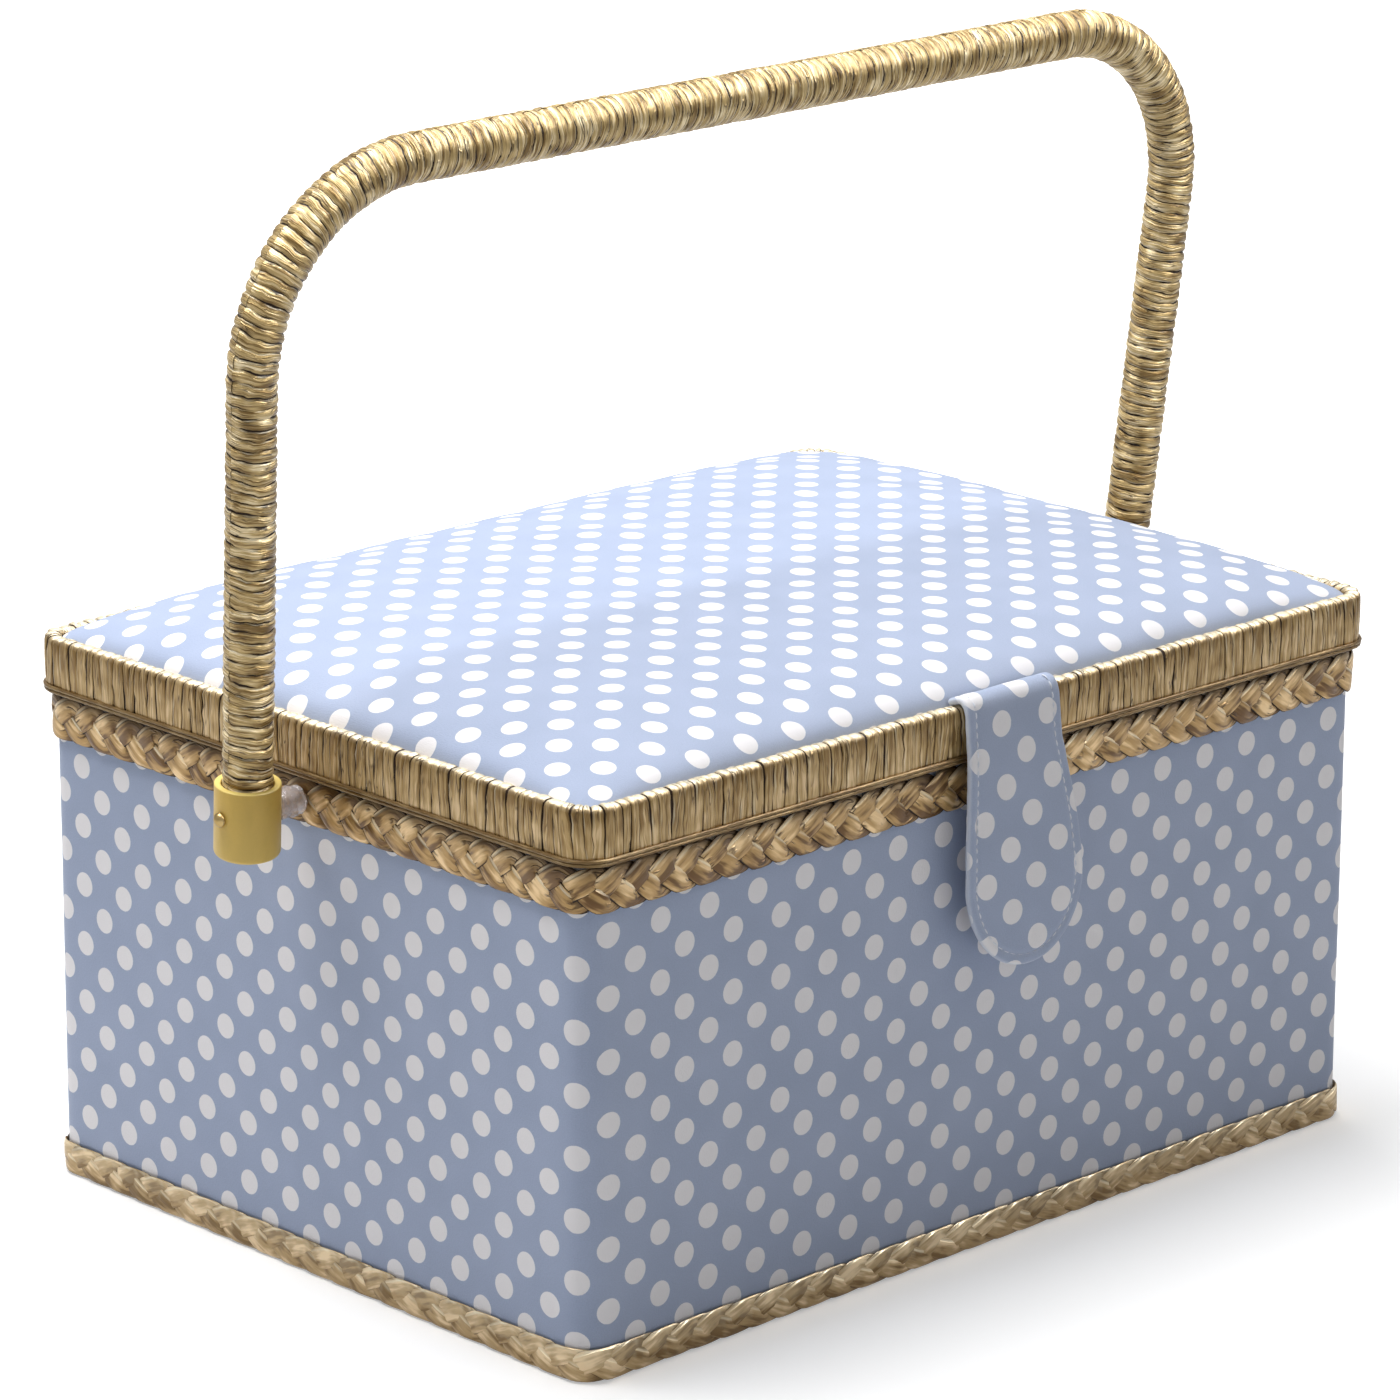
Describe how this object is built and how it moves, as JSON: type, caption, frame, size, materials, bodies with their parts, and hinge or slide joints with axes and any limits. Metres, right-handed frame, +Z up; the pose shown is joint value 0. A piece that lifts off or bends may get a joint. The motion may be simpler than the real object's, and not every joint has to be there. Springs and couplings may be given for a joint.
{
  "type": "sewing box",
  "caption": "Fabric covered sewing box with a padded hinged lid, a wound carrying handle that swings, a press-stud tongue and a sliding tray.",
  "frame": {"origin": "middle of the flat face that the box stands on", "axes": "+X to the right along the long side, the front with the tongue faces -Y, +Z up"},
  "size_m": [0.3686, 0.2425, 0.3192],
  "materials": {
    "dotted_fabric": "woven cotton, white dots",
    "raffia": "glossy flat straw strips",
    "board": "raw fibreboard",
    "lining": "plain woven cotton",
    "cushion": "stuffed cotton",
    "cane": "bent cane",
    "yellow_plastic": "satin moulded",
    "clear_plastic": "clear",
    "tray_plastic": "moulded, glossy",
    "steel": "plated",
    "hinge_brass": "brass plated"
  },
  "bodies": {
    "box": {"back_liner": "lining", "back_wall": "board", "base_board": "board", "base_sheet": "lining", "body_cover": "dotted_fabric", "floor_pad": "lining", "front_liner": "lining", "front_wall": "board", "hinge_box_screws": "hinge_brass", "left_hinge_box_leaf": "hinge_brass", "left_hinge_pin": "hinge_brass", "left_liner": "lining", "left_pin_washer": "steel", "left_spacer": "clear_plastic", "left_wall": "board", "lower_plait": "raffia", "right_hinge_box_leaf": "hinge_brass", "right_hinge_pin": "hinge_brass", "right_liner": "lining", "right_pin_washer": "steel", "right_spacer": "clear_plastic", "right_wall": "board", "snap_socket": "steel", "upper_plait": "raffia"},
    "pivot_pins": {"left_pivot_pin": "steel", "right_pivot_pin": "steel", "left_pin_nut": "steel", "right_pin_nut": "steel"},
    "handle": {"handle_core": "cane", "handle_wrap": "raffia", "left_socket": "yellow_plastic", "right_socket": "yellow_plastic"},
    "lid": {"lid_board": "board", "lid_frame": "board", "lid_rim_wrap": "raffia", "lid_pad": "dotted_fabric", "lid_lining": "lining", "lid_pocket": "lining", "pin_cushion": "cushion", "left_hinge_lid_leaf": "hinge_brass", "right_hinge_lid_leaf": "hinge_brass", "hinge_lid_screws": "hinge_brass", "tongue_root": "dotted_fabric"},
    "tongue": {"tongue": "dotted_fabric", "snap_stud": "steel"},
    "tray": {"tray": "tray_plastic"}
  },
  "joints": [
    {"name": "lid_hinge", "type": "hinge", "parent": "box", "child": "lid", "pos_m": [0, 0.1178, 0.14385], "axis": [-1, 0, 0], "range_deg": [0, 100]},
    {"name": "pin_turn", "type": "hinge", "parent": "box", "child": "pivot_pins", "pos_m": [0, 0, 0.1375], "axis": [-1, 0, 0], "range_deg": [0, 100]},
    {"name": "handle_swing", "type": "hinge", "parent": "pivot_pins", "child": "handle", "pos_m": [0, 0, 0.1375], "axis": [1, 0, 0], "range_deg": [-38, 127]},
    {"name": "tongue_lift", "type": "hinge", "parent": "lid", "child": "tongue", "pos_m": [0, -0.1154, 0.1624], "axis": [-1, 0, 0], "range_deg": [0, 150]},
    {"name": "tray_slide", "type": "slide", "parent": "box", "child": "tray", "axis": [0, -1, 0], "range_m": [0, 0.115]}
  ],
  "couplings": [
    {"joint": "pin_turn", "follows": "lid_hinge", "ratio": 1}
  ]
}
